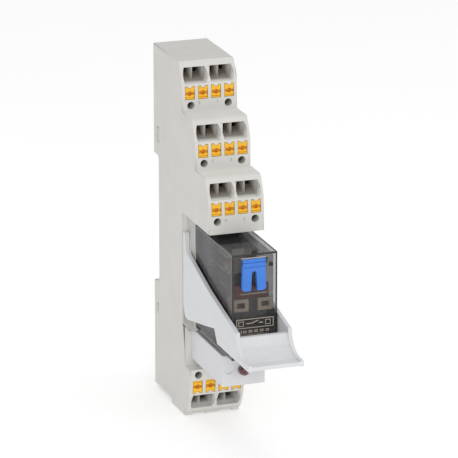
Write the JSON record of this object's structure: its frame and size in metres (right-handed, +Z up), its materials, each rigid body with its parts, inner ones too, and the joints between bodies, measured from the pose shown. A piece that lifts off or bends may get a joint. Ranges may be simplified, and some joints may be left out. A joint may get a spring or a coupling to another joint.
{
  "type": "plug in relay",
  "caption": "Slim plug-in relay on a stepped rail socket with push-in terminals, a swinging clip that holds and ejects the relay, a blue test lever and a plug-in lamp module.",
  "frame": {"origin": "centre line of the rail, on the face of the recess that rests against the rail", "axes": "+X along the rail, to the right seen from the front; +Y back towards the rail; +Z up"},
  "size_m": [0.0158, 0.0773, 0.0989],
  "materials": {
    "housing_plastic": "fine matte moulded",
    "cover_plastic": "fine matte moulded",
    "latch_plastic": "matte moulded",
    "clip_plastic": "smooth matte moulded",
    "relay_black": "satin moulded",
    "relay_clear": "smoky clear plastic",
    "bobbin_plastic": "smooth moulded",
    "winding": "varnished wire under tape",
    "iron": "zinc plated",
    "card_plastic": "smooth moulded",
    "contact_spring": "rolled spring bronze",
    "lever_blue": "smooth moulded",
    "module_plastic": "smooth matte moulded",
    "circuit_board": "solder resist",
    "lamp_red": "polished tinted lens",
    "pin_metal": "tinned",
    "bar_brass": "stamped",
    "spring_steel": "stamped spring steel",
    "button_orange": "smooth moulded"
  },
  "bodies": {
    "socket": {"socket_housing": "housing_plastic", "rear_cover": "cover_plastic", "bar_nc_left": "bar_brass", "bar_nc_right": "bar_brass", "bar_com_left": "bar_brass", "bar_com_right": "bar_brass", "bar_no_left": "bar_brass", "bar_no_right": "bar_brass", "bar_coil_left": "bar_brass", "bar_coil_right": "bar_brass", "clamp_nc_left": "spring_steel", "clamp_nc_right": "spring_steel", "clamp_com_left": "spring_steel", "clamp_com_right": "spring_steel", "clamp_no_left": "spring_steel", "clamp_no_right": "spring_steel", "clamp_coil_left": "spring_steel", "clamp_coil_right": "spring_steel"},
    "rail_latch": {"rail_latch": "latch_plastic"},
    "clip": {"retaining_clip": "clip_plastic"},
    "button_nc_1": {"button_nc_1": "button_orange"},
    "button_nc_2": {"button_nc_2": "button_orange"},
    "button_nc_3": {"button_nc_3": "button_orange"},
    "button_nc_4": {"button_nc_4": "button_orange"},
    "button_com_1": {"button_com_1": "button_orange"},
    "button_com_2": {"button_com_2": "button_orange"},
    "button_com_3": {"button_com_3": "button_orange"},
    "button_com_4": {"button_com_4": "button_orange"},
    "button_no_1": {"button_no_1": "button_orange"},
    "button_no_2": {"button_no_2": "button_orange"},
    "button_no_3": {"button_no_3": "button_orange"},
    "button_no_4": {"button_no_4": "button_orange"},
    "button_coil_1": {"button_coil_1": "button_orange"},
    "button_coil_2": {"button_coil_2": "button_orange"},
    "button_coil_3": {"button_coil_3": "button_orange"},
    "button_coil_4": {"button_coil_4": "button_orange"},
    "relay": {"relay_base": "relay_black", "relay_cover": "relay_clear", "coil_bobbin": "bobbin_plastic", "coil_winding": "winding", "coil_core": "iron", "yoke": "iron", "pin_com_left": "pin_metal", "pin_com_right": "pin_metal", "pin_no_left": "pin_metal", "pin_no_right": "pin_metal", "pin_nc_left": "pin_metal", "pin_nc_right": "pin_metal", "pin_coil_left": "pin_metal", "pin_coil_right": "pin_metal"},
    "armature": {"armature": "iron"},
    "actuator_card": {"actuator_card": "card_plastic"},
    "blades": {"blade_left": "contact_spring", "blade_right": "contact_spring"},
    "test_lever": {"test_lever": "lever_blue"},
    "indicator_module": {"module_housing": "module_plastic", "module_board": "circuit_board", "module_lamp": "lamp_red", "module_pin_left": "pin_metal", "module_pin_right": "pin_metal"}
  },
  "joints": [
    {"name": "latch_slide", "type": "slide", "parent": "socket", "child": "rail_latch", "axis": [0, 0, -1], "range_m": [0, 0.003], "stiffness_N_per_m": 1500, "springref_m": -0.001},
    {"name": "clip_hinge", "type": "hinge", "parent": "socket", "child": "clip", "pos_m": [0, -0.02285, -0.0191], "axis": [1, 0, 0], "range_deg": [0, 32]},
    {"name": "push_nc_1", "type": "slide", "parent": "socket", "child": "button_nc_1", "axis": [0, 1, 0], "range_m": [0, 0.0012], "stiffness_N_per_m": 3000, "springref_m": -0.0005, "deforming": ["clamp_nc_left"]},
    {"name": "push_nc_2", "type": "slide", "parent": "socket", "child": "button_nc_2", "axis": [0, 1, 0], "range_m": [0, 0.0012], "stiffness_N_per_m": 3000, "springref_m": -0.0005, "deforming": ["clamp_nc_left"]},
    {"name": "push_nc_3", "type": "slide", "parent": "socket", "child": "button_nc_3", "axis": [0, 1, 0], "range_m": [0, 0.0012], "stiffness_N_per_m": 3000, "springref_m": -0.0005, "deforming": ["clamp_nc_right"]},
    {"name": "push_nc_4", "type": "slide", "parent": "socket", "child": "button_nc_4", "axis": [0, 1, 0], "range_m": [0, 0.0012], "stiffness_N_per_m": 3000, "springref_m": -0.0005, "deforming": ["clamp_nc_right"]},
    {"name": "push_com_1", "type": "slide", "parent": "socket", "child": "button_com_1", "axis": [0, 1, 0], "range_m": [0, 0.0012], "stiffness_N_per_m": 3000, "springref_m": -0.0005, "deforming": ["clamp_com_left"]},
    {"name": "push_com_2", "type": "slide", "parent": "socket", "child": "button_com_2", "axis": [0, 1, 0], "range_m": [0, 0.0012], "stiffness_N_per_m": 3000, "springref_m": -0.0005, "deforming": ["clamp_com_left"]},
    {"name": "push_com_3", "type": "slide", "parent": "socket", "child": "button_com_3", "axis": [0, 1, 0], "range_m": [0, 0.0012], "stiffness_N_per_m": 3000, "springref_m": -0.0005, "deforming": ["clamp_com_right"]},
    {"name": "push_com_4", "type": "slide", "parent": "socket", "child": "button_com_4", "axis": [0, 1, 0], "range_m": [0, 0.0012], "stiffness_N_per_m": 3000, "springref_m": -0.0005, "deforming": ["clamp_com_right"]},
    {"name": "push_no_1", "type": "slide", "parent": "socket", "child": "button_no_1", "axis": [0, 1, 0], "range_m": [0, 0.0012], "stiffness_N_per_m": 3000, "springref_m": -0.0005, "deforming": ["clamp_no_left"]},
    {"name": "push_no_2", "type": "slide", "parent": "socket", "child": "button_no_2", "axis": [0, 1, 0], "range_m": [0, 0.0012], "stiffness_N_per_m": 3000, "springref_m": -0.0005, "deforming": ["clamp_no_left"]},
    {"name": "push_no_3", "type": "slide", "parent": "socket", "child": "button_no_3", "axis": [0, 1, 0], "range_m": [0, 0.0012], "stiffness_N_per_m": 3000, "springref_m": -0.0005, "deforming": ["clamp_no_right"]},
    {"name": "push_no_4", "type": "slide", "parent": "socket", "child": "button_no_4", "axis": [0, 1, 0], "range_m": [0, 0.0012], "stiffness_N_per_m": 3000, "springref_m": -0.0005, "deforming": ["clamp_no_right"]},
    {"name": "push_coil_1", "type": "slide", "parent": "socket", "child": "button_coil_1", "axis": [0, 1, 0], "range_m": [0, 0.0012], "stiffness_N_per_m": 3000, "springref_m": -0.0005, "deforming": ["clamp_coil_left"]},
    {"name": "push_coil_2", "type": "slide", "parent": "socket", "child": "button_coil_2", "axis": [0, 1, 0], "range_m": [0, 0.0012], "stiffness_N_per_m": 3000, "springref_m": -0.0005, "deforming": ["clamp_coil_left"]},
    {"name": "push_coil_3", "type": "slide", "parent": "socket", "child": "button_coil_3", "axis": [0, 1, 0], "range_m": [0, 0.0012], "stiffness_N_per_m": 3000, "springref_m": -0.0005, "deforming": ["clamp_coil_right"]},
    {"name": "push_coil_4", "type": "slide", "parent": "socket", "child": "button_coil_4", "axis": [0, 1, 0], "range_m": [0, 0.0012], "stiffness_N_per_m": 3000, "springref_m": -0.0005, "deforming": ["clamp_coil_right"]},
    {"name": "relay_slide", "type": "slide", "parent": "socket", "child": "relay", "axis": [0, -1, 0], "range_m": [0, 0.0074]},
    {"name": "armature_tilt", "type": "hinge", "parent": "relay", "child": "armature", "pos_m": [0, -0.0525, -0.00473], "axis": [1, 0, 0], "range_deg": [0, 3.3], "stiffness_Nm_per_rad": 0.002, "springref_deg": -28.65},
    {"name": "card_slide", "type": "slide", "parent": "relay", "child": "actuator_card", "axis": [0, 0, 1], "range_m": [0, 0.0006]},
    {"name": "blade_bend", "type": "hinge", "parent": "relay", "child": "blades", "pos_m": [0, -0.0319, 0.00097], "axis": [-1, 0, 0], "range_deg": [0, 3.2]},
    {"name": "lever_hinge", "type": "hinge", "parent": "relay", "child": "test_lever", "pos_m": [-0.0005, -0.05705, 0.00417], "axis": [-1, 0, 0], "range_deg": [0, 90]},
    {"name": "module_slide", "type": "slide", "parent": "socket", "child": "indicator_module", "axis": [0, -1, 0], "range_m": [0, 0.012]}
  ],
  "couplings": [
    {"joint": "relay_slide", "follows": "clip_hinge", "m_per_rad": 0.0132},
    {"joint": "card_slide", "follows": "armature_tilt", "m_per_rad": 0.01},
    {"joint": "blade_bend", "follows": "armature_tilt", "ratio": 0.935}
  ]
}
